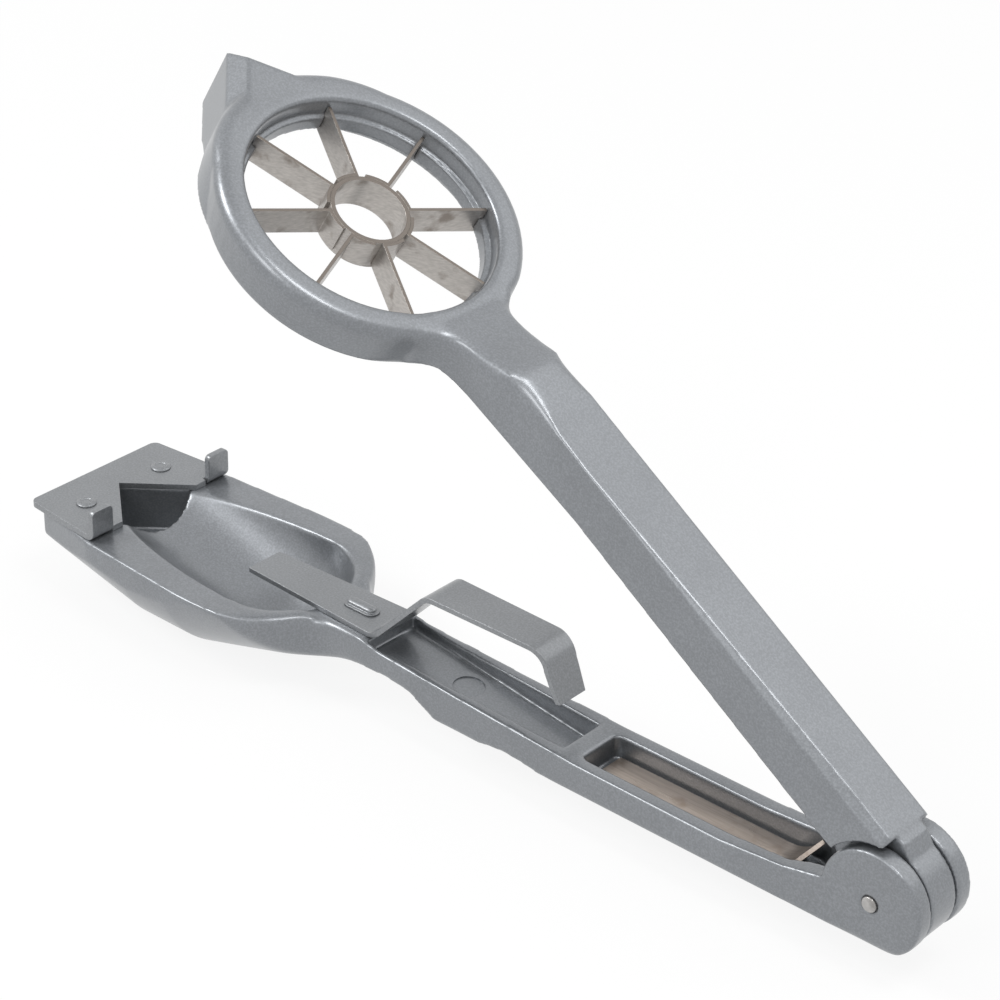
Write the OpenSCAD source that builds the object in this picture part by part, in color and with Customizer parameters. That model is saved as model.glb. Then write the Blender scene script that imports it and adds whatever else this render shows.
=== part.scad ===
// Radish rose cutter: two cast arms on one hinge pin, shown open.
// Units are millimetres. The rest pad under the cup is at the origin, the hinge lies along Y at the +X end.

/* [Hinge] */
// Distance from the rest pad to the hinge axis
hinge_x = 147; // [145:0.5:149]
// Height of the hinge axis above the rest pad
hinge_z = 14.7; // [14.2:0.1:15.2]
// Angle between the arms as shown
open_angle = 31; // [29:0.5:33]
// Diameter of the hinge pin
pin_d = 2.8; // [2.4:0.1:3.4]
// Radius of the round ears of the lower arm
ear_r = 9.4; // [9:0.1:9.8]
// Width over both ears
ear_w = 14.2; // [14:0.1:14.8]
// Thickness of one ear
ear_t = 3.5; // [3.2:0.1:3.7]

/* [Lower arm] */
// Height of the cup rim above the rest pad
rim_z = 16.6; // [16.2:0.1:17]
// Radius of the trough and of its round rear end
trough_r = 13.5; // [12.8:0.1:13.8]
// Slope of the trough toward its rear end
trough_slope = 17.5; // [16:0.5:19]
// Outer radius of the cup underside
cup_r = 20; // [19.8:0.1:20.4]
// Half width inside the handle channel
channel_hw = 4.6; // [4.2:0.1:4.8]
// Depth of the rear pocket below the handle top
pocket_depth = 4.5; // [4:0.1:4.8]

/* [Front plate] */
// Thickness of the plate sheet
plate_t = 1.2; // [1:0.1:1.4]
// Half width of the plate at its front edge
plate_hw = 15.8; // [15:0.1:16]
// Depth of the notch
notch_depth = 11.2; // [10:0.1:11.6]
// Half width of the notch at its mouth
notch_hw = 9.3; // [8.8:0.1:9.8]
// Height of the two upright tabs above the plate
tab_h = 5; // [4:0.1:5.4]

/* [Loop strip] */
// Thickness of the strip
strip_t = 1; // [0.8:0.1:1]
// Height of the loop above the rim
loop_h = 12.4; // [11:0.1:12.4]

/* [Leaf spring] */
// Thickness of the spring
spring_t = 0.8; // [0.6:0.1:1]
// Width of the spring
spring_w = 8; // [7:0.1:8.2]

/* [Upper arm and blades] */
// Outer radius of the ring
ring_out = 27.2; // [26.8:0.1:27.6]
// Thickness of the ring wall at its top
ring_wall = 4.9; // [4.6:0.1:5.2]
// Height of the ring
ring_h = 9.5; // [9:0.1:10]
// Outer radius of the core ring
core_r = 7.1; // [6.6:0.1:7.6]
// Height of the core ring
core_h = 6.2; // [5.8:0.1:6.6]
// Height of the blades
blade_h = 5.5; // [5:0.1:5.8]
// Thickness of the blade strip
blade_t = 0.6; // [0.4:0.1:0.8]
// Thickness of the upper handle roof
roof_t = 1.4; // [1.2:0.1:1.5]

/* [Fits] */
// Radial clearance between the pin and the turning lug
pin_fit = 0.05; // [0.03:0.01:0.08]
// Side clearance between the lug and each ear
lug_gap = 0.35; // [0.3:0.05:0.5]

/* [Hidden] */
$fn = 72;
cast_grey = [0.62, 0.64, 0.66];
sheet_grey = [0.58, 0.6, 0.62];
blade_grey = [0.66, 0.64, 0.61];
spring_brown = [0.62, 0.53, 0.44];
pin_grey = [0.7, 0.7, 0.68];
front_x = -38.4;
handle_z = 13;
web_front = 82.8;
web_rear = 86.9;
boss_x = 60.8;
boss_z = 12.7;
boss_r = 8;
handle_top = [[24, rim_z], [34, rim_z], [42, rim_z - 1.7], [boss_x, rim_z - 2.6],
    [web_front, handle_z + 0.2], [web_rear, handle_z], [hinge_x - 29, handle_z],
    [hinge_x - 17, handle_z + 0.8], [hinge_x - 8, handle_z + 2.6], [hinge_x, hinge_z]];
handle_low = concat(
    [[hinge_x, hinge_z - ear_r], [hinge_x - 11, 5.7], [hinge_x - 34, 6.2], [web_rear, 6.5], [76, 7.8],
        [71, 7.9]],
    arc([boss_x, boss_z], boss_r, -42, -140, 8),
    [[49.5, 10], [44, 10.6], [39, 10.4], [34, 9.2], [24, 6]]);
neck_hw = 6.6;
handle_plan = [[20, neck_hw], [34, neck_hw], [boss_x, 7], [web_rear, 7.4], [hinge_x - 29, 7.6],
    [hinge_x - 15, 7.2], [hinge_x, ear_w / 2]];
belly_r = 11.5;
belly_z = 16.4;
corner_x = 9.6;
cup_front = front_x + 1.8;
cup_plan = [[cup_front, plate_hw - 1.4], [front_x + 17.5, 17.8], [4, 19.3], [corner_x, 19.3], [corner_x, 0]];
corner_r = 17.1;
corner_y = 2.3;
pad_cut = 0.7;
pad_front = -9;
pad_rear = 0;
cup_bow = 12;
cup_rise = 16;
neck_r = 7;
neck_y = neck_hw + neck_r;
neck_x = corner_x + sqrt(pow(corner_r + neck_r, 2) - pow(neck_y - corner_y, 2));
trough_x = 11.2;
trough_z = rim_z + 1.3;
well_r = 16;
well_x = -34.6;
well_floor = rim_z - 9;
vertex_x = -31.3;
mouth_x = vertex_x + notch_depth;
rivet_x = -29.9;
rivet_y = 9.4;
rivet_d = 2.6;
rivet_head_d = 3.8;
rivet_lip = 0.25;
rivet_dome = 0.3;
rivet_bevel = 0.6;
rivet_deep = 4;
tab_x = -20.6;
tab_in = 12.1;
tab_out = 17.1;
tab_r = 1;
bend_r = 0.8;
plate_corner = 1.5;
recess = 0.8;
seat_z = rim_z - recess;
strip_tip = 7.5;
strip_bend = 38.1;
strip_up = 41;
fold_r = 3.5;
loop_top = rim_z + loop_h;
loop_front = 52.4;
crest_r = 3;
loop_rear = 78;
drop_r = 4;
leg_lean = 9;
leg_end = [loop_rear + 2.4, rim_z + 3];
stud_x = 32;
stud_len = 6.8;
stud_w = 2.4;
stud_head = 0.7;
stud_lip = 0.4;
stud_deep = 2.6;
pocket_floor = handle_z - pocket_depth;
shelf_x = 39;
shelf_z = 13.2;
ramp_x = 50;
ramp_z = 12.6;
ramp_end = 8.9;
mark_x = 57.6;
mark_d = 5.8;
mark_deep = 0.25;
ramp_slope = atan((ramp_z - ramp_end) / (web_front - ramp_x));
slot_hw = ear_w / 2 - ear_t;
lug_hw = slot_hw - lug_gap;
lug_r = 9.2;
lug_clear = ear_r + 1;
slot_r = lug_r + 4;
spring_front = web_rear + 1.5;
curl_x = 124;
curl_r = 8;
curl_turn = 62;
ring_x = -137.4;
ring_z = 12.3;
ring_in = ring_out - ring_wall;
ring_edge = 2.2;
ring_cut = (ring_in + ring_out) / 2;
ledge_z = -3.8;
band_z = -6.6;
ledge_in = ring_in - 1;
core_t = 0.8;
core_drop = 1.8;
foot_len = 4;
blade_end = ring_in - 0.15;
blade_n = 8;
arm_end = -4.6;
arm_hw = 6.6;
heel_hw = 7;
heel_top = 10.8;
crease_x = ring_x + 40;
arm_top = [[ring_x + 11.4, ring_z], [ring_x + 24.4, ring_z], [ring_x + 32.9, 14], [crease_x, 16.5],
    [along(0.06), 16], [along(0.12), 15], [along(0.2), 14.4], [along(0.5), 13.2], [along(0.9), 11.4],
    [arm_end, heel_top]];
arm_low = [[arm_end, 1.2], [along(0.82), 2.1], [along(0.5), 4], [along(0.24), 5.6], [crease_x - 5, 5.8],
    [ring_x + 28.4, 5.2], [ring_x + 21.4, ring_z - ring_h], [ring_x + 11.4, ring_z - ring_h]];
arm_plan = [[ring_x + 19.4, arm_hw], [crease_x, arm_hw], [arm_end, heel_hw]];
arm_draft = 5;
arm_wall = 1.2;
edge_slope = 3.4;
edge_cut = 1.2;
cave_front = crease_x - 5.6;
cave_rear = -20;
cave_low = -20;
flare_r = 7;
flare_y = arm_hw + flare_r;
flare_x = ring_x + sqrt(pow(ring_out + flare_r, 2) - pow(flare_y, 2));
nose_reach = 37.8;
nose_angle = 41;
nose_low = ring_z - 15.8;
nose_bevel = 3.1;
nose_back = 4.1;
nose_gap = 2.5;

function mirrored(pts) = concat(pts, [for (i = [len(pts) - 1:-1:0]) [pts[i][0], -pts[i][1]]]);
function inset(pts, d) = [for (p = pts) [p[0], p[1] - d]];
function turn(a) = [cos(a), sin(a)];
function arc(c, r, a0, a1, n) = [for (i = [0:n]) c + r * turn(a0 + (a1 - a0) * i / n)];
function along(t) = crease_x + (arm_end - crease_x) * t;
function draft_hw(z) = heel_hw - (z - 1) * tan(arm_draft);

// A side outline in X and Z, drawn through the whole width.
module side(pts, hw) {
    translate([0, hw, 0])
        rotate([90, 0, 0])
            linear_extrude(2 * hw) polygon(pts);
}

// A plan outline in X and Y, drawn from z0 up to z1.
module plan(pts, z0, z1) {
    translate([0, 0, z0]) linear_extrude(z1 - z0) polygon(mirrored(pts));
}

// A round bar along Y.
module bar(r, hw) {
    rotate([90, 0, 0]) cylinder(r = r, h = 2 * hw, center = true);
}

// The moving arm turned open about the hinge.
module opened() {
    translate([hinge_x, 0, hinge_z]) rotate([0, open_angle, 0]) children();
}

module cup_outline() {
    polygon(mirrored(cup_plan));
    for (s = [-1, 1]) translate([corner_x, s * corner_y]) circle(corner_r);
    difference() {
        polygon(mirrored([[corner_x, 12], [neck_x - 6, 11.4], [neck_x, neck_y], [neck_x, 0]]));
        for (s = [-1, 1]) translate([neck_x, s * neck_y]) circle(neck_r);
    }
}

// The boat-shaped cup: its plan cut by three round undersides and by the flat rest pad.
module cup_body() {
    intersection() {
        linear_extrude(rim_z) cup_outline();
        translate([-60, 0, cup_r - pad_cut]) rotate([0, 90, 0]) cylinder(r = cup_r, h = 120, $fn = 120);
        translate([pad_front, 0, cup_r - pad_cut])
            rotate([0, cup_bow, 0])
                translate([-60, 0, 0]) rotate([0, 90, 0]) cylinder(r = cup_r, h = 130, $fn = 120);
        translate([pad_rear, 0, cup_r - pad_cut])
            rotate([0, -cup_rise, 0])
                translate([-70, 0, 0]) rotate([0, 90, 0]) cylinder(r = cup_r, h = 130, $fn = 120);
    }
}

module handle_body() {
    intersection() {
        union() {
            intersection() {
                side(concat(handle_top, handle_low), 20);
                plan(handle_plan, 0, 40);
            }
            translate([hinge_x, 0, hinge_z]) bar(ear_r, ear_w / 2);
        }
        translate([10, 0, belly_z]) rotate([0, 90, 0]) cylinder(r = belly_r, h = 170, $fn = 96);
    }
}

// The trough: a sloping half round that runs out toward the front, with a round rear end.
module trough() {
    translate([trough_x, 0, trough_z])
        rotate([0, trough_slope - 90, 0])
            rotate_extrude($fn = 96)
                polygon(concat(arc([0, 0], trough_r, -90, 0, 16), [[trough_r, 60], [0, 60]]));
}

// The well under the plate notch, closed behind by a round wall.
module well() {
    translate([0, 0, well_floor])
        linear_extrude(20) intersection() {
            polygon(mirrored([[vertex_x - 0.8, 0], [vertex_x + 20, 17.8]]));
            translate([well_x, 0]) circle(well_r);
        }
}

// The two pockets in the handle top and the slot between the ears.
module channel_cuts() {
    intersection() {
        side([[shelf_x, 30], [shelf_x, shelf_z], [ramp_x, ramp_z], [web_front, ramp_end],
            [web_front, 30]], 20);
        plan([[shelf_x - 1, channel_hw + 1.2], [ramp_x, channel_hw + 0.5],
            [web_front + 1, channel_hw]], 0, 40);
    }
    translate([mark_x, 0, lookup(mark_x, [[ramp_x, ramp_z], [web_front, ramp_end]]) - mark_deep])
        rotate([0, ramp_slope, 0]) cylinder(d = mark_d, h = 1);
    translate([0, 0, pocket_floor])
        linear_extrude(20)
            polygon(mirrored([[web_rear, channel_hw - 0.6], [web_rear + 1, channel_hw],
                [curl_x + 6, channel_hw], [curl_x + 10, slot_hw]]));
    translate([hinge_x, 0, hinge_z]) bar(slot_r, slot_hw);
    translate([hinge_x, -slot_hw, -5]) cube([30, 2 * slot_hw, 50]);
}

module lower_arm() {
    color(cast_grey) difference() {
        union() {
            cup_body();
            handle_body();
        }
        trough();
        well();
        channel_cuts();
        translate([0, 0, seat_z])
            linear_extrude(10) polygon(mirrored([[trough_x + 9, 6.3], [24.4, 6.3], [31, 10.6], [46, 10.6]]));
        for (s = [-1, 1])
            translate([rivet_x, s * rivet_y, rim_z - rivet_deep]) cylinder(d = rivet_d, h = 20);
        translate([0, 0, seat_z - stud_deep]) stud_shape(0, 20);
        translate([hinge_x, 0, hinge_z]) bar(pin_d / 2, 20);
    }
}

module front_plate() {
    color(sheet_grey) translate([0, 0, rim_z]) {
        difference() {
            linear_extrude(plate_t) difference() {
                union() {
                    polygon(mirrored([[front_x + plate_corner, plate_hw], [tab_x - bend_r, tab_out],
                        [tab_x - bend_r, tab_in], [mouth_x, tab_in - 0.3]]));
                    for (s = [-1, 1])
                        translate([front_x + plate_corner, s * (plate_hw - plate_corner)])
                            circle(plate_corner);
                    translate([front_x, plate_corner - plate_hw]) square([2, 2 * (plate_hw - plate_corner)]);
                }
                polygon(mirrored([[vertex_x, 0], [mouth_x + 1, notch_hw * (notch_depth + 1) / notch_depth]]));
            }
            for (s = [-1, 1]) translate([rivet_x, s * rivet_y, -1]) cylinder(d = rivet_d, h = 10);
        }
        for (s = [-1, 1]) tab(s);
    }
}

// One upright tab with its bend.
module tab(s) {
    mid = s * (tab_in + tab_out) / 2;
    wide = tab_out - tab_in;
    translate([tab_x - bend_r, mid, bend_r + plate_t]) {
        difference() {
            bar(bend_r + plate_t, wide / 2);
            bar(bend_r, wide);
            translate([-9, -wide, -9]) cube([9, 2 * wide, 18]);
            translate([-9, -wide, 0]) cube([18, 2 * wide, 9]);
        }
        translate([bend_r, -wide / 2, 0]) cube([plate_t, wide, tab_h - bend_r - tab_r]);
        translate([bend_r, -wide / 2 + tab_r, 0]) cube([plate_t, wide - 2 * tab_r, tab_h - bend_r]);
        for (e = [-1, 1])
            translate([bend_r, e * (wide / 2 - tab_r), tab_h - bend_r - tab_r])
                rotate([0, 90, 0]) cylinder(r = tab_r, h = plate_t, $fn = 32);
    }
}

module plate_rivets() {
    color(sheet_grey) for (s = [-1, 1])
        translate([rivet_x, s * rivet_y, rim_z - rivet_deep]) {
            cylinder(d = rivet_d, h = rivet_deep + plate_t);
            translate([0, 0, rivet_deep + plate_t]) rivet_head();
        }
}

// A low peened head.
module rivet_head() {
    cylinder(d = rivet_head_d, h = rivet_lip);
    translate([0, 0, rivet_lip])
        cylinder(d1 = rivet_head_d, d2 = rivet_head_d - 2 * rivet_bevel, h = rivet_dome);
}

// A bent sheet seen from the side: the outer line one way, the inner line back.
function loop_path(d) = concat(
    [[strip_tip, seat_z + strip_t / 2 + d]],
    arc([strip_bend, seat_z + strip_t / 2 + fold_r], fold_r - d, -90, strip_up - 90, 5),
    arc([loop_front, loop_top - strip_t / 2 - crest_r], crest_r + d, 90 + strip_up, 90, 6),
    arc([loop_rear - drop_r, loop_top - strip_t / 2 - drop_r], drop_r + d, 90, leg_lean, 9),
    [leg_end + d * turn(leg_lean)]);

module loop_strip() {
    line_out = loop_path(strip_t / 2);
    line_in = loop_path(-strip_t / 2);
    back = [for (i = [len(line_in) - 1:-1:0]) line_in[i]];
    color(sheet_grey) difference() {
        intersection() {
            side(concat(line_out, back), 20);
            plan([[strip_tip, 3.9], [strip_bend, 5.2], [loop_front, 4.3], [loop_rear - 3, 3.9],
                [loop_rear + 1, 3.6], [leg_end[0] + 2, 3]], 0, 60);
        }
        translate([0, 0, seat_z - 1]) stud_shape(0, 10);
    }
}

// An oblong bar standing on the stud's place.
module stud_shape(grow, h) {
    half = (stud_len - stud_w) / 2;
    r = stud_w / 2 + grow;
    translate([stud_x, 0, 0])
        linear_extrude(h) polygon(concat(arc([half, 0], r, -90, 90, 10), arc([-half, 0], r, 90, 270, 10)));
}

module strip_stud() {
    color(sheet_grey) {
        translate([0, 0, seat_z - stud_deep]) stud_shape(0, stud_deep + strip_t + stud_head / 2);
        translate([0, 0, seat_z + strip_t]) stud_shape(stud_lip, stud_head / 2);
        translate([0, 0, seat_z + strip_t + stud_head / 2]) stud_shape(-stud_lip / 2, stud_head / 2);
    }
}

module leaf_spring() {
    centre = [curl_x, pocket_floor + curl_r];
    low = concat([[spring_front, pocket_floor]], arc(centre, curl_r, -90, curl_turn - 90, 10));
    top = concat([[spring_front, pocket_floor + spring_t]],
        arc(centre, curl_r - spring_t, -90, curl_turn - 90, 10));
    back = [for (i = [len(top) - 1:-1:0]) top[i]];
    color(spring_brown) intersection() {
        side(concat(low, back), spring_w / 2);
        plan([[web_rear, spring_w / 2], [curl_x + 5, spring_w / 2], [curl_x + 9, slot_hw - 0.4]], 0, 40);
    }
}

module hinge_pin() {
    color(pin_grey) translate([hinge_x, 0, hinge_z]) bar(pin_d / 2, ear_w / 2 + 0.2);
}

// The ring turned about its own axis.
module ring_body() {
    translate([ring_x, 0, ring_z])
        rotate_extrude($fn = 144) polygon(concat(
            arc([ring_out - ring_edge, -ring_edge], ring_edge, 90, 0, 6),
            [[ring_out - 0.9, -ring_h + 0.8], [ring_out - 1.6, -ring_h], [ring_out - 3, -ring_h]],
            [[ring_in + 0.6, band_z], [ledge_in, band_z], [ledge_in, ledge_z], [ring_in, ledge_z]],
            arc([ring_in + 1, -1], 1, 180, 90, 5)));
}

// The wedge in front of the ring that dips into the plate notch, bevelled at its top.
module nose() {
    half = (nose_reach - ring_in) * tan(nose_angle);
    straight = ring_z - nose_bevel - nose_low;
    translate([ring_x, 0, nose_low]) difference() {
        union() {
            linear_extrude(straight) polygon([[-nose_reach, 0], [-ring_in, half], [-ring_in, -half]]);
            translate([0, 0, straight])
                linear_extrude(nose_bevel, scale = 1 - nose_back / nose_reach)
                    polygon([[-nose_reach, 0], [-ring_in, half], [-ring_in, -half]]);
        }
        translate([0, 0, -1]) cylinder(r = ring_cut, h = 60);
        translate([0, 0, -1]) cylinder(r = ring_out + nose_gap, h = ring_z - ring_h - nose_low + 2);
    }
}

// The outline between the ring and the two rounds at the neck, seen from the ring centre.
module flare_outline() {
    reach = flare_x - ring_x;
    difference() {
        polygon([[0, 0], [reach, flare_y], [reach, -flare_y]]);
        for (s = [-1, 1]) translate([reach, s * flare_y]) circle(flare_r);
    }
}

// The webs that round the ring into the neck, bevelled like the ring's edge.
module neck_flare() {
    translate([ring_x, 0, cave_low]) linear_extrude(ring_z - ring_edge - cave_low) flare_outline();
    translate([ring_x, 0, ring_z - ring_edge])
        linear_extrude(ring_edge, scale = 1 - ring_edge / ring_out) flare_outline();
}

// A bar along the arm with drafted sides, made thinner by a wall.
module drafted(x0, x1, wall) {
    low = -4;
    high = 22;
    translate([x0, 0, 0])
        rotate([90, 0, 90])
            linear_extrude(x1 - x0)
                polygon([[draft_hw(low) - wall, low], [draft_hw(high) - wall, high],
                    [wall - draft_hw(high), high], [wall - draft_hw(low), low]]);
}

// A flat cut along each top edge of the handle.
module top_edge_cuts() {
    for (s = [-1, 1])
        translate([arm_end, s * draft_hw(heel_top + 2), heel_top])
            rotate([0, edge_slope, 0])
                rotate([-45 * s, 0, 0])
                    translate([crease_x - arm_end - 1, -6, -edge_cut / sqrt(2)]) cube([110, 12, 8]);
}

module arm_body() {
    difference() {
        intersection() {
            side(concat(arm_top, arm_low), 30);
            union() {
                intersection() {
                    plan(arm_plan, cave_low, 30);
                    union() {
                        drafted(crease_x, arm_end + 1, 0);
                        translate([crease_x - 30, -arm_hw, cave_low]) cube([30.1, 2 * arm_hw, 60]);
                    }
                }
                neck_flare();
            }
        }
        top_edge_cuts();
        translate([ring_x, 0, cave_low]) cylinder(r = ring_cut, h = 60);
        cave();
        bar(lug_clear, 20);
    }
    lug();
}

// The hollow of the handle, open below.
module cave() {
    roof = concat([[cave_front, lookup(cave_front, arm_top)]],
        [for (p = arm_top) if (p[0] > cave_front && p[0] < cave_rear) p],
        [[cave_rear, lookup(cave_rear, arm_top)]]);
    intersection() {
        side(concat(inset(roof, roof_t), [[cave_rear, cave_low], [cave_front, cave_low]]), 20);
        drafted(cave_front, cave_rear, arm_wall);
    }
}

module lug() {
    difference() {
        union() {
            bar(lug_r, lug_hw);
            side([[-19, 10.4], [-19, 4.5], [-6, -5], [0, 0], [2, 8], [-3, 10.6]], lug_hw);
        }
        bar(pin_d / 2 + pin_fit, 20);
    }
}

module upper_arm() {
    color(cast_grey) opened() difference() {
        union() {
            ring_body();
            nose();
            arm_body();
        }
        for (i = [0:blade_n - 1]) blade_place(i)
            translate([ring_in - 4, -blade_t / 2, -core_drop - blade_h]) cube([4 - 0.15, blade_t, blade_h]);
    }
}

module blade_place(i) {
    translate([ring_x, 0, ring_z]) rotate([0, 0, 22.5 + 45 * i]) children();
}

module core_ring() {
    color(blade_grey) opened() translate([ring_x, 0, ring_z - core_drop - core_h]) difference() {
        cylinder(r = core_r, h = core_h);
        translate([0, 0, -1]) cylinder(r = core_r - core_t, h = 20);
    }
}

// One blade: a straight leg set in the ring and a foot bent round the core.
module blade(i) {
    foot_a = foot_len / core_r * 180 / PI;
    color(blade_grey) opened() blade_place(i)
        translate([0, 0, -core_drop - blade_h]) {
            translate([core_r, -blade_t / 2, 0]) cube([blade_end - core_r, blade_t, blade_h]);
            rotate_extrude(angle = foot_a) translate([core_r, 0]) square([blade_t, blade_h]);
        }
}

module blade_1() { blade(0); }
module blade_2() { blade(1); }
module blade_3() { blade(2); }
module blade_4() { blade(3); }
module blade_5() { blade(4); }
module blade_6() { blade(5); }
module blade_7() { blade(6); }
module blade_8() { blade(7); }

lower_arm();
front_plate();
plate_rivets();
loop_strip();
strip_stud();
leaf_spring();
hinge_pin();
upper_arm();
core_ring();
blade_1();
blade_2();
blade_3();
blade_4();
blade_5();
blade_6();
blade_7();
blade_8();
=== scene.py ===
# %% [markdown]
# # A radish rose cutter, dressed for its portrait
# The tool arrives as finished solids: two castings, a few bent strips, eight blades and a pin. Straight
# from the drawing every edge is razor sharp and every face is one flat colour. Here each solid gets the
# skin of the real piece: castings are softened all over, as lacquer softens them, sheet pieces get the
# narrow broken edges of pressed metal, and every finish is built from nodes. Lengths are in millimetres,
# and MM turns them into Blender's metres. Only floor and lamps are set in metres.

# %% Load the tool
import math
import bpy
from mathutils import Matrix, Vector


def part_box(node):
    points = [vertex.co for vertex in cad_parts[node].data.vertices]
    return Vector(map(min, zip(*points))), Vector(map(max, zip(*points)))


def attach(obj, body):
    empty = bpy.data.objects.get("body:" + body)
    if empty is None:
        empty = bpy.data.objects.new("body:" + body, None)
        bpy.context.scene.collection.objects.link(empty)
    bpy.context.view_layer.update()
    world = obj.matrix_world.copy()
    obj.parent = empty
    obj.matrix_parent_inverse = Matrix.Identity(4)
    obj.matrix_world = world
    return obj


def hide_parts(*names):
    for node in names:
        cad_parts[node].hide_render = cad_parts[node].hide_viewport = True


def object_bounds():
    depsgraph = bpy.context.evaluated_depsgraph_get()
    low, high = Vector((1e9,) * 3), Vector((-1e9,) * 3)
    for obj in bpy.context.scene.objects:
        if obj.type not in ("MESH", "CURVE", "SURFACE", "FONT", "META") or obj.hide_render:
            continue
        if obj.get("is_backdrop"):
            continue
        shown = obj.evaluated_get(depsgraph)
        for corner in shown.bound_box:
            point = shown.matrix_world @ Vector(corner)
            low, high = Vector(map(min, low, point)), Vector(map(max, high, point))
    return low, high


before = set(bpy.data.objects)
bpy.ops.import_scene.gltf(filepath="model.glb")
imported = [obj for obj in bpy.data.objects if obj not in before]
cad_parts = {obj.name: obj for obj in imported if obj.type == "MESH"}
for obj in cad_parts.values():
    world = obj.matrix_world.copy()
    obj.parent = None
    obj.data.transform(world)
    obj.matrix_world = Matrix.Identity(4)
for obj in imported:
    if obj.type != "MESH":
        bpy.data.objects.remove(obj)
cad_low, cad_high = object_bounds()
MM = 0.001
print("nodes", sorted(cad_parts))
print("box in mm", [round((h - l) / MM, 1) for l, h in zip(cad_low, cad_high)])

# %% [markdown]
# ## The camera
# The photograph was taken from the hinge end, a little to the right of the tool and well above it. A
# camera can be aimed with a constraint or turned by three angles. Here it is placed by its direction and
# its distance, and a slight roll levels the picture as it was taken. A matrix made from three axes says
# this more plainly than a chain of rotations would.

# %% Camera
EYE = Vector((355.0, -334.1, 303.4)) * MM
AZIMUTH = math.radians(41.07)
ELEVATION = math.radians(29.65)
ROLL = math.radians(-1.08)
LENS = 111.1
SENSOR = 36.0

toward = Vector((math.sin(AZIMUTH) * math.cos(ELEVATION),
                 -math.cos(AZIMUTH) * math.cos(ELEVATION),
                 math.sin(ELEVATION)))
side = Vector((math.cos(AZIMUTH), math.sin(AZIMUTH), 0.0))
up = toward.cross(side)
picture_right = side * math.cos(ROLL) - up * math.sin(ROLL)
picture_up = side * math.sin(ROLL) + up * math.cos(ROLL)

camera_data = bpy.data.cameras.new("portrait camera")
camera_data.lens = LENS
camera_data.sensor_width = SENSOR
camera = bpy.data.objects.new("portrait camera", camera_data)
bpy.context.scene.collection.objects.link(camera)
axes = Matrix((picture_right, picture_up, toward)).transposed().to_4x4()
camera.matrix_world = Matrix.Translation(EYE) @ axes
bpy.context.scene.camera = camera
bpy.context.scene.view_settings.view_transform = "Standard"
print("camera looks along", [round(-v, 3) for v in toward])

# %% [markdown]
# ## The white sheet
# The tool lies on seamless white paper. A floor made white by strong lamps would also bleach the metal.
# So the sheet glows by itself for rays that see it directly, whether from the camera or by way of shiny
# metal, and it is plain diffuse paper for the light that bounces about. A small share of plain paper is
# left in what the camera sees, because it carries the soft shadow under the cup.

# %% Direct rays
DIRECT_RAYS = ("Is Camera Ray", "Is Glossy Ray", "Is Transmission Ray")


def seen_directly(tree):
    """A socket that is 1 for rays from the camera, mirrors and glass, and 0 for light that bounces."""
    path = tree.nodes.new("ShaderNodeLightPath").outputs
    seen = path[DIRECT_RAYS[0]]
    for kind in DIRECT_RAYS[1:]:
        either = tree.nodes.new("ShaderNodeMath")
        either.operation = "MAXIMUM"
        tree.links.new(seen, either.inputs[0])
        tree.links.new(path[kind], either.inputs[1])
        seen = either.outputs[0]
    return seen


def split_rays(tree, share, bounced, seen, output_kind):
    """Mix one shader for bounced light with another for direct rays, and send the mix to the output."""
    mix = tree.nodes.new("ShaderNodeMixShader")
    tree.links.new(share, mix.inputs["Fac"])
    tree.links.new(bounced.outputs[0], mix.inputs[1])
    tree.links.new(seen.outputs[0], mix.inputs[2])
    output = tree.nodes.new(output_kind)
    tree.links.new(mix.outputs[0], output.inputs["Surface"])


print("a surface is seen directly by", DIRECT_RAYS)

# %% White sheet
FLOOR_METRES = 4.0
FLOOR_GAP = 0.2
PAPER_WHITE = (0.9, 0.9, 0.9, 1)
PAPER_GLOW = 0.88


def spread(tree, value, low, high):
    """A value from 0 to 1 brought to the range low to high."""
    node = tree.nodes.new("ShaderNodeMapRange")
    node.inputs["To Min"].default_value = low
    node.inputs["To Max"].default_value = high
    tree.links.new(value, node.inputs["Value"])
    return node.outputs["Result"]


def white_sheet():
    """White paper that glows for the rays that see it directly."""
    material = bpy.data.materials.new("white sheet")
    material.use_nodes = True
    tree = material.node_tree
    tree.nodes.clear()
    paper = tree.nodes.new("ShaderNodeBsdfDiffuse")
    paper.inputs["Color"].default_value = PAPER_WHITE
    glow = tree.nodes.new("ShaderNodeEmission")
    glow_share = spread(tree, seen_directly(tree), 0.0, PAPER_GLOW)
    split_rays(tree, glow_share, paper, glow, "ShaderNodeOutputMaterial")
    return material


bpy.ops.object.select_all(action="DESELECT")
bpy.ops.mesh.primitive_plane_add(size=FLOOR_METRES, location=(0, 0, cad_low[2] - FLOOR_GAP * MM))
floor = bpy.context.object
floor.name = "floor"
floor.data.materials.append(white_sheet())
floor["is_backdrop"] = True
print("sheet lies below the tool by mm", round((cad_low[2] - floor.location.z) / MM, 2))

# %% [markdown]
# ## The light tent
# Small shiny things are photographed in a tent of white cloth, so that they mirror white on all sides.
# Cloth panels could be built round the tool, but a world background does the same without any mesh. It is
# white where it is seen and dimmer where it lights, so the metal mirrors white and isn't washed out.

# %% Light tent
TENT_LEVEL = 0.48
TENT_WHITE = (1, 1, 1, 1)

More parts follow.
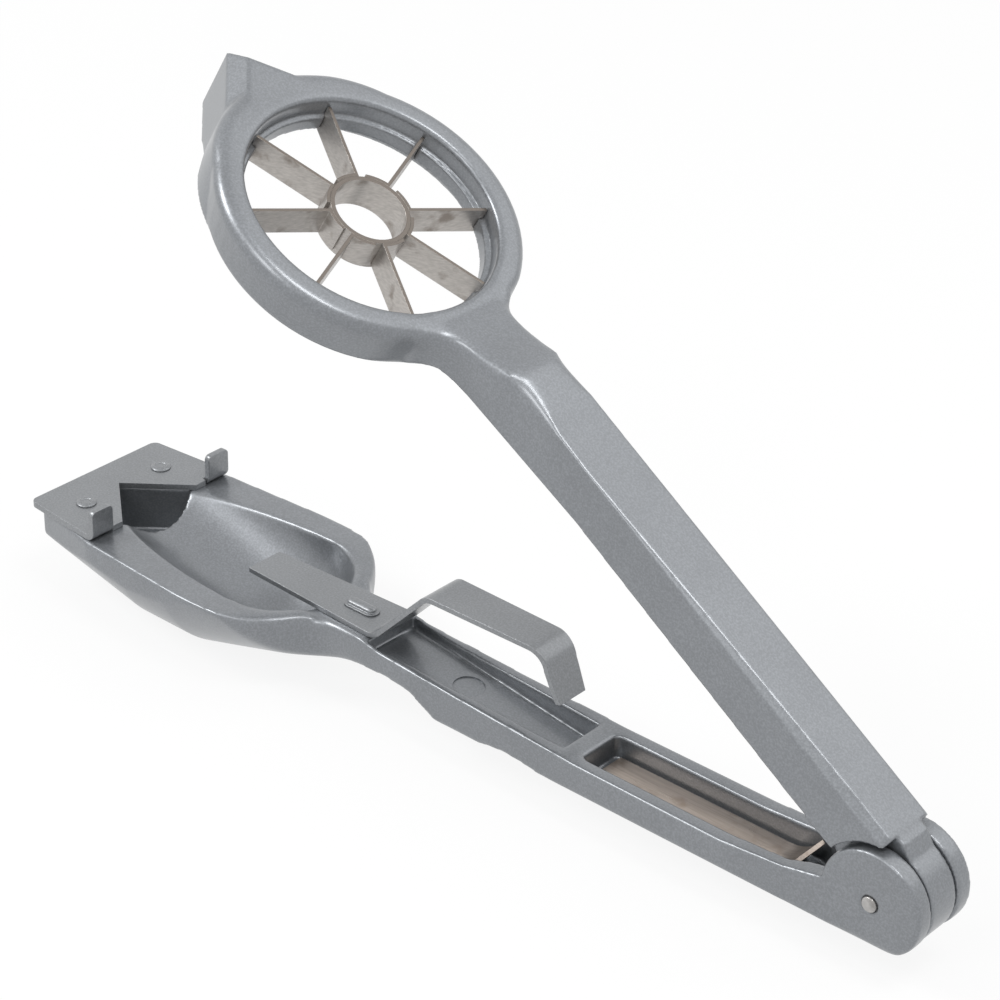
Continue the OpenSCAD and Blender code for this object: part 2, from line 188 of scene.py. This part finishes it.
world = bpy.data.worlds.new("light tent")
bpy.context.scene.world = world
world.use_nodes = True
tent = world.node_tree
tent.nodes.clear()
tent_light = tent.nodes.new("ShaderNodeBackground")
tent_light.inputs["Color"].default_value = TENT_WHITE
tent_light.inputs["Strength"].default_value = TENT_LEVEL
tent_seen = tent.nodes.new("ShaderNodeBackground")
tent_seen.inputs["Color"].default_value = TENT_WHITE
split_rays(tent, seen_directly(tent), tent_light, tent_seen, "ShaderNodeOutputWorld")
print("tent is seen at", tent_seen.inputs["Strength"].default_value, "and lights at", TENT_LEVEL)

# %% [markdown]
# ## Four lamps
# In the tent alone the metal would look flat. Sun or point lamps would draw hard spots on lacquer, so all
# four are round soft areas. A softbox above draws the thin bright lines along the edges, a wide one
# behind lightens the handle's top, one at the front left gives the trough its long highlight, and one in
# front lights the near walls and looks down into the well.

# %% Lamps
# Each lamp has a name, a place and a width in metres, and a power in watts.
LAMPS = [
    ("softbox above", (0.48, -0.05, 0.95), 0.36, 3.0),
    ("wide lamp behind", (0.55, 0.75, 0.9), 1.2, 2.6),
    ("lamp front left", (-0.6, -0.5, 0.8), 0.4, 5.2),
    ("lamp in front", (0.15, -0.85, 0.85), 0.4, 2.2),
]
tool_middle = Vector([(l + h) / 2 for l, h in zip(cad_low, cad_high)])

for name, place, width, power in LAMPS:
    lamp_data = bpy.data.lights.new(name, "AREA")
    lamp_data.shape = "DISK"
    lamp_data.size = width
    lamp_data.energy = power
    lamp = bpy.data.objects.new(name, lamp_data)
    bpy.context.scene.collection.objects.link(lamp)
    lamp.location = place
    lamp.rotation_euler = (tool_middle - Vector(place)).to_track_quat("-Z", "Y").to_euler()
    print(name, "gives", power, "watts")

# %% [markdown]
# ## Parts of a finish
# A real finish is never one colour: it has grain, clouds, stains and fine lines. Painted pictures could
# show them, but they need unwrapping and look soft close up. Noise on the object's own coordinates needs
# neither. A few small functions make the noises, turn them into colours and mix them.

# %% Patterns


def finish(name):
    """A material with a fresh Principled shader, its tree and its object coordinates."""
    material = bpy.data.materials.new(name)
    material.use_nodes = True
    tree = material.node_tree
    shader = tree.nodes["Principled BSDF"]
    where = tree.nodes.new("ShaderNodeTexCoord").outputs["Object"]
    return material, tree, shader, where


def noise(tree, where, scale, detail, stretch=None):
    """A noise value; stretch squeezes the pattern along the three axes."""
    if stretch:
        mapping = tree.nodes.new("ShaderNodeMapping")
        mapping.inputs["Scale"].default_value = stretch
        tree.links.new(where, mapping.inputs["Vector"])
        where = mapping.outputs[0]
    node = tree.nodes.new("ShaderNodeTexNoise")
    node.inputs["Scale"].default_value = scale
    node.inputs["Detail"].default_value = detail
    tree.links.new(where, node.inputs["Vector"])
    return node.outputs["Fac"]


print("materials before the finishes", len(bpy.data.materials))

# %% Colours and relief
CAST_TONE = (0.232, 0.244, 0.26)
SHEET_TONE = (0.245, 0.255, 0.267)


def toned(tone, factor):
    """A tone made darker or brighter by a factor."""
    return [min(1.0, channel * factor) for channel in tone]


def ramp(tree, value, stops):
    """A colour ramp through two or more stops of position and colour."""
    node = tree.nodes.new("ShaderNodeValToRGB")
    while len(node.color_ramp.elements) < len(stops):
        node.color_ramp.elements.new(0.5)
    for element, (position, colour) in zip(node.color_ramp.elements, stops):
        element.position = position
        element.color = (*colour, 1)
    tree.links.new(value, node.inputs["Fac"])
    return node.outputs["Color"]


def blend_colours(tree, first, second, share, kind="MIX"):
    """Two colours mixed; share is a number or a socket."""
    node = tree.nodes.new("ShaderNodeMix")
    node.data_type = "RGBA"
    node.blend_type = kind
    tree.links.new(first, node.inputs["A"])
    tree.links.new(second, node.inputs["B"])
    if isinstance(share, float):
        node.inputs["Factor"].default_value = share
    else:
        tree.links.new(share, node.inputs["Factor"])
    return node.outputs["Result"]


def bump(tree, shader, height, strength, distance):
    """Let a height tilt the surface of a shader."""
    node = tree.nodes.new("ShaderNodeBump")
    node.inputs["Strength"].default_value = strength
    node.inputs["Distance"].default_value = distance
    tree.links.new(height, node.inputs["Height"])
    tree.links.new(node.outputs["Normal"], shader.inputs["Normal"])


print("tone of the castings", CAST_TONE, "and of the sheet pieces", SHEET_TONE)

# %% [markdown]
# ## Silver-grey lacquer
# The castings and the lacquered sheet pieces wear one silver-grey metallic paint. Close up it is full of
# fine bright flakes under a clear coat with a faint orange peel, and it is cloudy where the spray was
# thicker. Plain grey metal would look like bare aluminium. Three noises of very different size, under the
# shader's own coat, give the paint its depth.

# %% Silver-grey lacquer
FLAKE = 0.35
FLAKE_DARK = 0.9
FLAKE_BRIGHT = 1.14
FLAKE_ROUGH = (0.28, 0.42)
CLOUD = 14.0
CLOUD_DARK = (0.9, 0.9, 0.9)
CLOUD_CLEAR = (1.0, 1.0, 1.0)
PEEL = 0.9
PEEL_STRENGTH = 0.16
PEEL_DEPTH = 0.08
LACQUER_METAL = 0.6
COAT = 0.35
COAT_ROUGH = 0.14


def lacquer(name, tone):
    """Metallic lacquer: flakes, orange peel and slow clouds about one tone."""
    material, tree, shader, where = finish(name)
    glitter = noise(tree, where, 1 / (FLAKE * MM), detail=1.0)
    flakes = ramp(tree, glitter, [(0.36, toned(tone, FLAKE_DARK)), (0.52, tone),
                                  (0.72, toned(tone, FLAKE_BRIGHT))])
    haze = noise(tree, where, 1 / (CLOUD * MM), detail=3.0)
    clouds = ramp(tree, haze, [(0.3, CLOUD_DARK), (0.7, CLOUD_CLEAR)])
    tree.links.new(blend_colours(tree, flakes, clouds, 1.0, "MULTIPLY"), shader.inputs["Base Color"])
    tree.links.new(spread(tree, glitter, *FLAKE_ROUGH), shader.inputs["Roughness"])
    shader.inputs["Metallic"].default_value = LACQUER_METAL
    shader.inputs["Coat Weight"].default_value = COAT
    shader.inputs["Coat Roughness"].default_value = COAT_ROUGH
    peel = noise(tree, where, 1 / (PEEL * MM), detail=3.0)
    bump(tree, shader, peel, PEEL_STRENGTH, PEEL_DEPTH * MM)
    return material


cast_lacquer = lacquer("cast lacquer", CAST_TONE)
sheet_lacquer = lacquer("sheet lacquer", SHEET_TONE)
print("lacquers", cast_lacquer.name, "and", sheet_lacquer.name)

# %% [markdown]
# ## Bare metal
# Blades and core ring are bare strip steel, warm and dull, the spring is tempered to a straw brown and
# the pin is plain steel. Drawing leaves fine lines along a strip, and use leaves stains. A stretched
# noise gives the lines, and a coarse one the stains. The cut edges are darker than the faces: an
# attribute on the mesh says where they are, which follows the strips however they are bent.

# %% Bare steel, spring strip and pin
CUT_EDGE = "cut_edge"
LINES_PER_METRE = 900.0
LINE_DARK = 0.85
LINE_BRIGHT = 1.12
LINE_STRENGTH = 0.12
LINE_DEPTH = 0.03
STAINS_PER_METRE = 260.0
NO_STAIN = (0, 0, 0)
FULL_STAIN = (1, 1, 1)
EDGE_DARK = 0.7
SHEEN_PER_METRE = 700.0
SHEEN_LESS = 0.08
SHEEN_MORE = 0.1
BARE_METAL = 0.85


def plain_colour(tree, tone):
    """A socket with one colour."""
    node = tree.nodes.new("ShaderNodeRGB")
    node.outputs[0].default_value = (*tone, 1)
    return node.outputs[0]


def bare_metal(name, tone, stain, rough, stretch):
    """Bare strip: fine drawn lines along the strip, a few dull stains and dark cut edges."""
    material, tree, shader, where = finish(name)
    drawn = noise(tree, where, LINES_PER_METRE, detail=4.0, stretch=stretch)
    lines = ramp(tree, drawn, [(0.3, toned(tone, LINE_DARK)), (0.7, toned(tone, LINE_BRIGHT))])
    blots = noise(tree, where, STAINS_PER_METRE, detail=4.0)
    stains = ramp(tree, blots, [(0.56, NO_STAIN), (0.72, FULL_STAIN)])
    stained = blend_colours(tree, lines, plain_colour(tree, stain), stains)
    cut_edge = tree.nodes.new("ShaderNodeAttribute")
    cut_edge.attribute_name = CUT_EDGE
    edge_colour = plain_colour(tree, toned(stain, EDGE_DARK))
    coloured = blend_colours(tree, stained, edge_colour, cut_edge.outputs["Fac"])
    tree.links.new(coloured, shader.inputs["Base Color"])
    sheen = noise(tree, where, SHEEN_PER_METRE, detail=3.0, stretch=stretch)
    roughness = spread(tree, sheen, rough - SHEEN_LESS, rough + SHEEN_MORE)
    tree.links.new(roughness, shader.inputs["Roughness"])
    shader.inputs["Metallic"].default_value = BARE_METAL
    bump(tree, shader, drawn, LINE_STRENGTH, LINE_DEPTH * MM)
    return material


blade_steel = bare_metal("blade steel", tone=(0.46, 0.435, 0.41), stain=(0.24, 0.21, 0.185),
                         rough=0.36, stretch=(1, 1, 4))
spring_strip = bare_metal("spring strip", tone=(0.39, 0.335, 0.293), stain=(0.3, 0.245, 0.205),
                          rough=0.3, stretch=(0.15, 3, 1))
pin_steel = bare_metal("pin steel", tone=(0.42, 0.41, 0.4), stain=(0.22, 0.21, 0.2),
                       rough=0.35, stretch=(1, 1, 1))
print("bare metals", blade_steel.name, "and", spring_strip.name, "and", pin_steel.name)

# %% [markdown]
# ## Working on a piece
# A solid of the drawing is a heap of loose triangles. Each piece starts as a copy of its solid, so the
# drawing itself stays as it came, and the copy is sewn together before anything else, because bevels and
# smoothing would tear loose triangles apart. When a piece is done, it gets its material and the body it
# moves with, and the node it stands for is hidden. The hinge pin gives the axis from which other places
# are measured.

# %% Helpers for whole pieces
SEW = 0.002


def only(piece):
    """Select one piece and make it active."""
    bpy.ops.object.select_all(action="DESELECT")
    piece.select_set(True)
    bpy.context.view_layer.objects.active = piece


def edit_all(piece):
    """Open a piece in edit mode with everything selected."""
    only(piece)
    bpy.ops.object.mode_set(mode="EDIT")
    bpy.ops.mesh.select_all(action="SELECT")


def copy_of(node, name):
    """A separate copy of a node's mesh with its loose triangles sewn together."""
    piece = bpy.data.objects.new(name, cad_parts[node].data.copy())
    bpy.context.scene.collection.objects.link(piece)
    piece.data.materials.clear()
    edit_all(piece)
    bpy.ops.mesh.remove_doubles(threshold=SEW * MM)
    bpy.ops.object.mode_set(mode="OBJECT")
    return piece


def apply_modifier(piece, kind, **settings):
    """Add one modifier with these settings and apply it."""
    only(piece)
    modifier = piece.modifiers.new(kind.lower(), kind)
    for key, value in settings.items():
        setattr(modifier, key, value)
    bpy.ops.object.modifier_apply(modifier=modifier.name)


def dress(piece, body, material, node):
    """Give a finished piece its material and its body, and hide the node that it stands for."""
    piece.data.materials.clear()
    piece.data.materials.append(material)
    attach(piece, body)
    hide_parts(node)
    print(piece.name, len(piece.data.polygons), "faces")


pin_low, pin_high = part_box("hinge_pin")
HINGE = (Vector(pin_low) + Vector(pin_high)) / 2
HINGE_X = HINGE.x / MM
HINGE_Z = HINGE.z / MM
print("hinge axis at mm", round(HINGE_X, 1), round(HINGE_Z, 1))

# %% [markdown]
# ## The skin of a casting
# A die casting has no sharp edge anywhere: the metal shrinks, the burrs are tumbled off and the lacquer
# fills the corners. Beveling every edge of such a shape by hand is slow, and bevels run into each other
# in the corners. A sharp remesh cuts the whole skin into small even squares that keep to the edges, and a
# smoothing pass then rounds every edge alike. Where the real casting blends more softly, a few spots are
# smoothed again, by a weight that fades outward.

# %% Skin of a casting
SKIN_DEPTH = 9
SKIN_FILL = 0.99
SKIN_SHARE = 0.8
SMOOTHING = 0.5
SOFT_CORE = 1.6
CAST_SHADING = math.radians(60)


def skin(piece, passes):
    """Cut the whole piece into small squares and round its edges."""
    apply_modifier(piece, "REMESH", mode="SHARP", octree_depth=SKIN_DEPTH, scale=SKIN_FILL,
                   sharpness=1.0, use_remove_disconnected=False)
    apply_modifier(piece, "SMOOTH", factor=SMOOTHING, iterations=passes)


def soften(piece, place, reach, passes):
    """Smooth the skin again round a place, fully in its core and fading out over the reach."""
    group = piece.vertex_groups.new(name="softer")
    centre = Vector(place) * MM
    for vertex in piece.data.vertices:
        share = 1 - (vertex.co - centre).length / (reach * MM)
        if share > 0:
            group.add([vertex.index], min(1.0, SOFT_CORE * share), "REPLACE")
    apply_modifier(piece, "SMOOTH", factor=SMOOTHING, iterations=passes, vertex_group=group.name)
    piece.vertex_groups.clear()


def soften_sides(piece, spots):
    """Soften a list of spots on one side of the tool and then their mirror images on the other."""
    for sign in (-1, 1):
        for (x, y, z), reach, passes in spots:
            soften(piece, (x, sign * y, z), reach, passes)


def finish_casting(piece, body, node):
    """Thin the skin a little, shade it smooth and give it its lacquer."""
    apply_modifier(piece, "DECIMATE", ratio=SKIN_SHARE)
    only(piece)
    bpy.ops.object.shade_smooth_by_angle(angle=CAST_SHADING)
    dress(piece, body, cast_lacquer, node)


tool_length = (cad_high[0] - cad_low[0]) / MM
print("a skin square measures about mm", round(tool_length / 2 ** SKIN_DEPTH, 2))

# %% [markdown]
# ## The ejector mark
# A pin of the mould pushes the lower casting out and leaves a shallow round print in the floor of the
# channel. A print so shallow is lost when the skin is smoothed, so it is pressed in afterwards: a drum is
# tilted to the slope of the floor and cut away with a boolean, which keeps the rim of the print crisp.

# %% Ejector mark
DRUM_SIDES = 128
MARK = (57.6, 0, 11.74)
MARK_RADIUS = 2.9
MARK_DEPTH = 0.35
MARK_TOP = 1.5
FLOOR_SLOPE = math.radians(6.4)


def drum(x, y, radius, low_z, high_z):
    """An upright drum."""
    bpy.ops.object.select_all(action="DESELECT")
    centre = (x * MM, y * MM, (low_z + high_z) / 2 * MM)
    bpy.ops.mesh.primitive_cylinder_add(vertices=DRUM_SIDES, radius=radius * MM,
                                        depth=(high_z - low_z) * MM, location=centre)
    piece = bpy.context.object
    bpy.ops.object.transform_apply(location=True, rotation=True, scale=True)
    return piece


def join_with(piece, tool, operation):
    """Weld a tool to a piece or cut it away, and put the tool aside."""
    apply_modifier(piece, "BOOLEAN", object=tool, operation=operation, solver="EXACT")
    bpy.data.objects.remove(tool, do_unlink=True)


def press_mark(piece):
    """Press the round print into the sloping floor of the channel."""
    tool = drum(0, 0, MARK_RADIUS, -MARK_DEPTH, MARK_TOP)
    tool.data.transform(Matrix.Translation(Vector(MARK) * MM) @ Matrix.Rotation(FLOOR_SLOPE, 4, "Y"))
    join_with(piece, tool, "DIFFERENCE")


print("ejector mark at mm", MARK, "and", 2 * MARK_RADIUS, "wide")

# %% [markdown]
# ## The lower casting
# The lower arm is one casting: a boat-shaped cup, a neck, a channelled handle and two ears for the hinge
# pin. Its edges look rounder in the photograph than those of the upper arm, so its skin is smoothed
# longer. More passes everywhere would wash out the rims, so only a few spots are softened further: the
# feet of the ears, the rear corners of the cup and the boss under the handle. The mark is pressed last.

# %% Lower casting
LOWER_PASSES = 13
EAR_FOOT = (HINGE_X + 1, 6.5, HINGE_Z - 9.5)
CUP_REAR = (25, 10, 7)
BOSS_FOOT = (60.8, 0, 5)
# Each spot has a place, a reach and a number of passes.
LOWER_SIDES = [
    (EAR_FOOT, 9, 60),
    (CUP_REAR, 15, 200),
]

lower_casting = copy_of("lower_arm", "lower_casting")
skin(lower_casting, LOWER_PASSES)
soften_sides(lower_casting, LOWER_SIDES)
soften(lower_casting, BOSS_FOOT, reach=9, passes=40)
press_mark(lower_casting)
finish_casting(lower_casting, "lower", "lower_arm")

# %% [markdown]
# ## Webs of the ring
# The ring of the upper arm doesn't end abruptly: webs round it into the neck behind and into the nose in
# front. A web could be modelled on the ring itself, vertex by vertex. It is quicker to start from a plain
# block or drum, cut it to shape with other drums, as a pattern maker does in wood, and weld it on with a
# boolean. All three webs are made for the arm laid level, where the ring's axis is upright. Two of them
# end a hair below the ring's top, because a boolean is unsure of faces that share a plane.

# %% Web to the neck
RING_AHEAD = 137.4
RING_ABOVE = 12.3
RING_X = HINGE_X - RING_AHEAD
RING_TOP = HINGE_Z + RING_ABOVE
RING_OUT = 27.2
RING_MID = 24.7
NECK_HALF = 6.6
FILLET = 7.0
WEB_DEEP = 6.5
WEB_START = 18.0
WEB_SINK = 0.02
THROUGH = (0, 60)
FLARE_Y = NECK_HALF + FILLET
FLARE_X = math.sqrt((RING_OUT + FILLET) ** 2 - FLARE_Y ** 2)


def block(low_corner, high_corner):
    """A plain block between two corners."""
    bpy.ops.object.select_all(action="DESELECT")
    centre = [(l + h) / 2 * MM for l, h in zip(low_corner, high_corner)]
    bpy.ops.mesh.primitive_cube_add(size=1, location=centre)
    piece = bpy.context.object
    piece.scale = [(h - l) * MM for l, h in zip(low_corner, high_corner)]
    bpy.ops.object.transform_apply(location=True, rotation=True, scale=True)
    return piece


def neck_web():
    """The web that rounds the ring into the neck, level with the ring's top."""
    reach = FLARE_Y * RING_OUT / (RING_OUT + FILLET)
    web = block((RING_X + WEB_START, -reach, RING_TOP - WEB_DEEP),
                (RING_X + FLARE_X, reach, RING_TOP - WEB_SINK))
    for fillet_y in (-FLARE_Y, FLARE_Y):
        join_with(web, drum(RING_X + FLARE_X, fillet_y, FILLET, *THROUGH), "DIFFERENCE")
    join_with(web, drum(RING_X, 0, RING_MID, *THROUGH), "DIFFERENCE")
    return web


print("with the arm laid level, the ring's middle is at mm", round(RING_X, 1), round(RING_TOP, 1))

# %% Swell toward the nose
RING_HEIGHT = 9.5
RING_ROUND = 2.2
ROUND_STEPS = 6
SWELL = 2.0
SWELL_RADIUS = 24.0
UPWARD = 0.9
TOP_BAND = 0.02


def select_top(piece):
    """Select only the topmost flat faces of a piece."""
    top = max(vertex.co.z for vertex in piece.data.vertices)
    only(piece)
    bpy.ops.object.mode_set(mode="EDIT")
    bpy.ops.mesh.select_mode(type="FACE")
    bpy.ops.mesh.select_all(action="DESELECT")
    bpy.ops.object.mode_set(mode="OBJECT")
    for face in piece.data.polygons:
        face.select = face.normal.z > UPWARD and face.center.z > top - TOP_BAND * MM


def nose_web():
    """The web that swells the ring's wall out to the nose, rounded on top like the ring."""
    middle_x = RING_X - RING_OUT - SWELL + SWELL_RADIUS
    web = drum(middle_x, 0, SWELL_RADIUS, RING_TOP - RING_HEIGHT, RING_TOP - WEB_SINK)
    select_top(web)
    bpy.ops.object.mode_set(mode="EDIT")
    bpy.ops.mesh.bevel(offset=RING_ROUND * MM, segments=ROUND_STEPS)
    bpy.ops.object.mode_set(mode="OBJECT")
    join_with(web, drum(RING_X, 0, RING_MID, *THROUGH), "DIFFERENCE")
    return web


print("the ring's wall swells by mm", SWELL, "at the nose")

# %% Foot of the nose
NOSE_DEEP = 15.8
NOSE_REACH = 37.8
NOSE_TIP = RING_X - NOSE_REACH
NOSE_ANGLE = math.radians(41.0)
FOOT_SPARE = 5.0
FOOT_HALF = 15.0
FOOT_LAP = 2.0
FOOT_GAP = 0.3


def nose_foot():
    """The foot of the nose: its V faces carried back to the ring below the ring's wall."""
    foot = block((NOSE_TIP - FOOT_SPARE, -FOOT_HALF, RING_TOP - NOSE_DEEP),
                 (RING_X - RING_MID, FOOT_HALF, RING_TOP - RING_HEIGHT + FOOT_LAP))
    only(foot)
    bpy.ops.object.mode_set(mode="EDIT")
    for sign in (-1, 1):
        bpy.ops.mesh.select_all(action="SELECT")
        bpy.ops.mesh.bisect(plane_co=(NOSE_TIP * MM, 0, 0), clear_outer=True, use_fill=True,
                            plane_no=(-math.sin(NOSE_ANGLE), sign * math.cos(NOSE_ANGLE), 0))
    bpy.ops.object.mode_set(mode="OBJECT")
    join_with(foot, drum(RING_X, 0, RING_OUT + FOOT_GAP, *THROUGH), "DIFFERENCE")
    return foot


print("nose's tip at mm", round(NOSE_TIP, 1), "and its foot", NOSE_DEEP, "below the ring's top")

# %% [markdown]
# ## The upper casting
# The upper arm carries the ring, the nose, the neck and the hollow handle, and it stands open in the
# photograph. It could be worked on as it stands, but webs and soft spots are easier to place where the
# ring's axis is upright. So the arm is laid level for the work, the webs are welded on, the skin is made
# and softened, and the arm is opened again at the end.

# %% Upper casting
OPEN_ANGLE = math.radians(31.0)
UPPER_PASSES = 7
CREASE_X = RING_X + 40
CREASE_TOP = RING_TOP + 4.2
NECK_SLOPE = (RING_X + 32.9, 0, RING_TOP + 1.7)
# Each spot has a place, a reach and a number of passes.
UPPER_SIDES = [
    # Crease between neck and handle, and the neck's end of the web
    ((CREASE_X - 1, NECK_HALF, CREASE_TOP - 0.5), 9, 220),
    ((RING_X + FLARE_X - 2, NECK_HALF, RING_TOP + 0.5), 5, 80),
    # Ring's end of the web, at its top and at its foot
    ((RING_X + 24.5, 1.6 * NECK_HALF, RING_TOP - 0.5), 5, 80),
    ((RING_X + 24.5, 1.7 * NECK_HALF, RING_TOP - WEB_DEEP), 6.5, 60),
    # Nose beside the ring, under the ring's wall and near its top
    ((RING_X - 25.2, 1.65 * NECK_HALF, RING_TOP - 12.5), 8, 160),
    ((RING_X - 27, 1.3 * NECK_HALF, RING_TOP - 2), 4, 30),
]


def turned(piece, angle):
    """Turn a mesh about the hinge; a positive angle opens the arm."""
    swing = Matrix.Rotation(angle, 4, "Y")
    piece.data.transform(Matrix.Translation(HINGE) @ swing @ Matrix.Translation(-HINGE))


upper_casting = copy_of("upper_arm", "upper_casting")
turned(upper_casting, -OPEN_ANGLE)
for web in (neck_web, nose_web, nose_foot):
    join_with(upper_casting, web(), "UNION")
skin(upper_casting, UPPER_PASSES)
soften_sides(upper_casting, UPPER_SIDES)
soften(upper_casting, NECK_SLOPE, reach=9, passes=80)
turned(upper_casting, OPEN_ANGLE)
finish_casting(upper_casting, "upper", "upper_arm")

# %% [markdown]
# ## Plate and strip
# The notched plate on the cup and the strip with its loop are pressed from sheet, so their edges are only
# broken, not round. A subdivided mesh would round them far too much. A narrow bevel with two steps
# catches a thin line of light, and weighted normals keep the flat faces flat up to that line.

# %% Plate and strip
FLAT_ANGLE = math.radians(0.5)
EDGE_ANGLE = math.radians(40)
SHEET_SHADING = math.radians(35)
EDGE_STEPS = 2
FACE_WEIGHT = 90
PLATE_EDGE = 0.18
STRIP_EDGE = 0.2


def flat_copy(node, name):
    """A copy of a node with its flat triangles joined into single faces."""
    piece = copy_of(node, name)
    edit_all(piece)
    bpy.ops.mesh.dissolve_limited(angle_limit=FLAT_ANGLE)
    bpy.ops.object.mode_set(mode="OBJECT")
    return piece


def break_edges(piece, width):
    """Break the edges of a sheet piece with a narrow bevel and shade it."""
    apply_modifier(piece, "BEVEL", width=width * MM, segments=EDGE_STEPS, limit_method="ANGLE",
                   angle_limit=EDGE_ANGLE, use_clamp_overlap=True)
    only(piece)
    bpy.ops.object.shade_smooth_by_angle(angle=SHEET_SHADING)
    apply_modifier(piece, "WEIGHTED_NORMAL", weight=FACE_WEIGHT, keep_sharp=True)


plate = flat_copy("front_plate", "notched_plate")
break_edges(plate, PLATE_EDGE)
dress(plate, "lower", sheet_lacquer, "front_plate")

strip = flat_copy("loop_strip", "bent_strip")
break_edges(strip, STRIP_EDGE)
dress(strip, "lower", sheet_lacquer, "loop_strip")

# %% [markdown]
# ## The leaf spring
# A strip of tempered steel lies in the pocket under the upper arm's heel and pushes the tool open. It
# could be swept along a curve, but its solid has the right bend already. It is thinner than plate and
# strip, so it gets the same treatment with a narrower bevel.

# %% Leaf spring
SPRING_EDGE = 0.12

spring = flat_copy("leaf_spring", "spring_leaf")
break_edges(spring, SPRING_EDGE)
dress(spring, "lower", spring_strip, "leaf_spring")

# %% [markdown]
# ## Core ring and blades
# Eight strips are bent against a small ring in the middle of the big one. Their sides are bright and
# their cut edges dark. Two materials with faces picked by hand would show this too, but the edges are
# known by where they look: along the axis of the ring. So one attribute is set from the faces' normals,
# and one material reads it.

# %% Core ring and blades
RING_AXIS = Vector((math.sin(OPEN_ANGLE), 0, math.cos(OPEN_ANGLE)))
CUT_FACING = 0.6
CORE_EDGE = 0.08
BLADE_EDGE = 0.06


def mark_cut_edges(piece, across):
    """Mark the faces that look along one direction as bare cut edges."""
    marks = piece.data.attributes.new(CUT_EDGE, "FLOAT", "FACE")
    for face, mark in zip(piece.data.polygons, marks.data):
        mark.value = 1.0 if abs(face.normal.dot(across)) > CUT_FACING else 0.0


def cutting_piece(node, name, edge):
    """A blade or the core ring, with its cut edges marked."""
    piece = flat_copy(node, name)
    break_edges(piece, edge)
    dress(piece, "upper", blade_steel, node)
    mark_cut_edges(piece, RING_AXIS)


cutting_piece("core_ring", "core_band", CORE_EDGE)
for node in sorted(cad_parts):
    if node.startswith("blade_"):
        cutting_piece(node, node.replace("blade_", "blade_strip_"), BLADE_EDGE)

# %% [markdown]
# ## Rivets, stud and pin
# Two rivets hold the plate, an oblong stud holds the strip and a pin holds the arms together. A peening
# tool leaves the rivets dished and the stud crowned. Their heads could be carved with booleans, but a
# head is flat on top in the drawing, so its top face is simply inset step by step and sunk or raised at
# each step.

# %% Rivets, stud and pin
# Each step is a width inward and a rise.
RIVET_DISH = [(0.25, 0.0), (0.1, -0.2), (0.2, 0.0), (0.1, 0.05)]
STUD_CROWN = [(0.15, 0.15), (0.3, 0.2), (0.25, 0.06)]
RIVET_EDGE = 0.1
STUD_EDGE = 0.12
PIN_EDGE = 0.3


def shape_top(piece, steps):
    """Inset the topmost faces step by step."""
    select_top(piece)
    bpy.ops.object.mode_set(mode="EDIT")
    for inward, rise in steps:
        bpy.ops.mesh.inset(thickness=inward * MM, depth=rise * MM)
    bpy.ops.object.mode_set(mode="OBJECT")


rivets = flat_copy("plate_rivets", "rivet_heads")
shape_top(rivets, RIVET_DISH)
break_edges(rivets, RIVET_EDGE)
dress(rivets, "lower", sheet_lacquer, "plate_rivets")

stud = flat_copy("strip_stud", "stud_head")
shape_top(stud, STUD_CROWN)
break_edges(stud, STUD_EDGE)
dress(stud, "lower", sheet_lacquer, "strip_stud")

pin = flat_copy("hinge_pin", "peened_pin")
break_edges(pin, PIN_EDGE)
dress(pin, "lower", pin_steel, "hinge_pin")

# %% [markdown]
# ## Check the size
# Bevels and smoothing take a little off, and insets can add a little. The dressed tool must not outgrow
# its solids, so both boxes are measured and the growth along each axis is printed.

# %% Sizes and finish
low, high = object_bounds()
grown = [(h - l) - (ch - cl) for l, h, cl, ch in zip(low, high, cad_low, cad_high)]
print("grown by mm", [round(length / MM, 2) for length in grown])
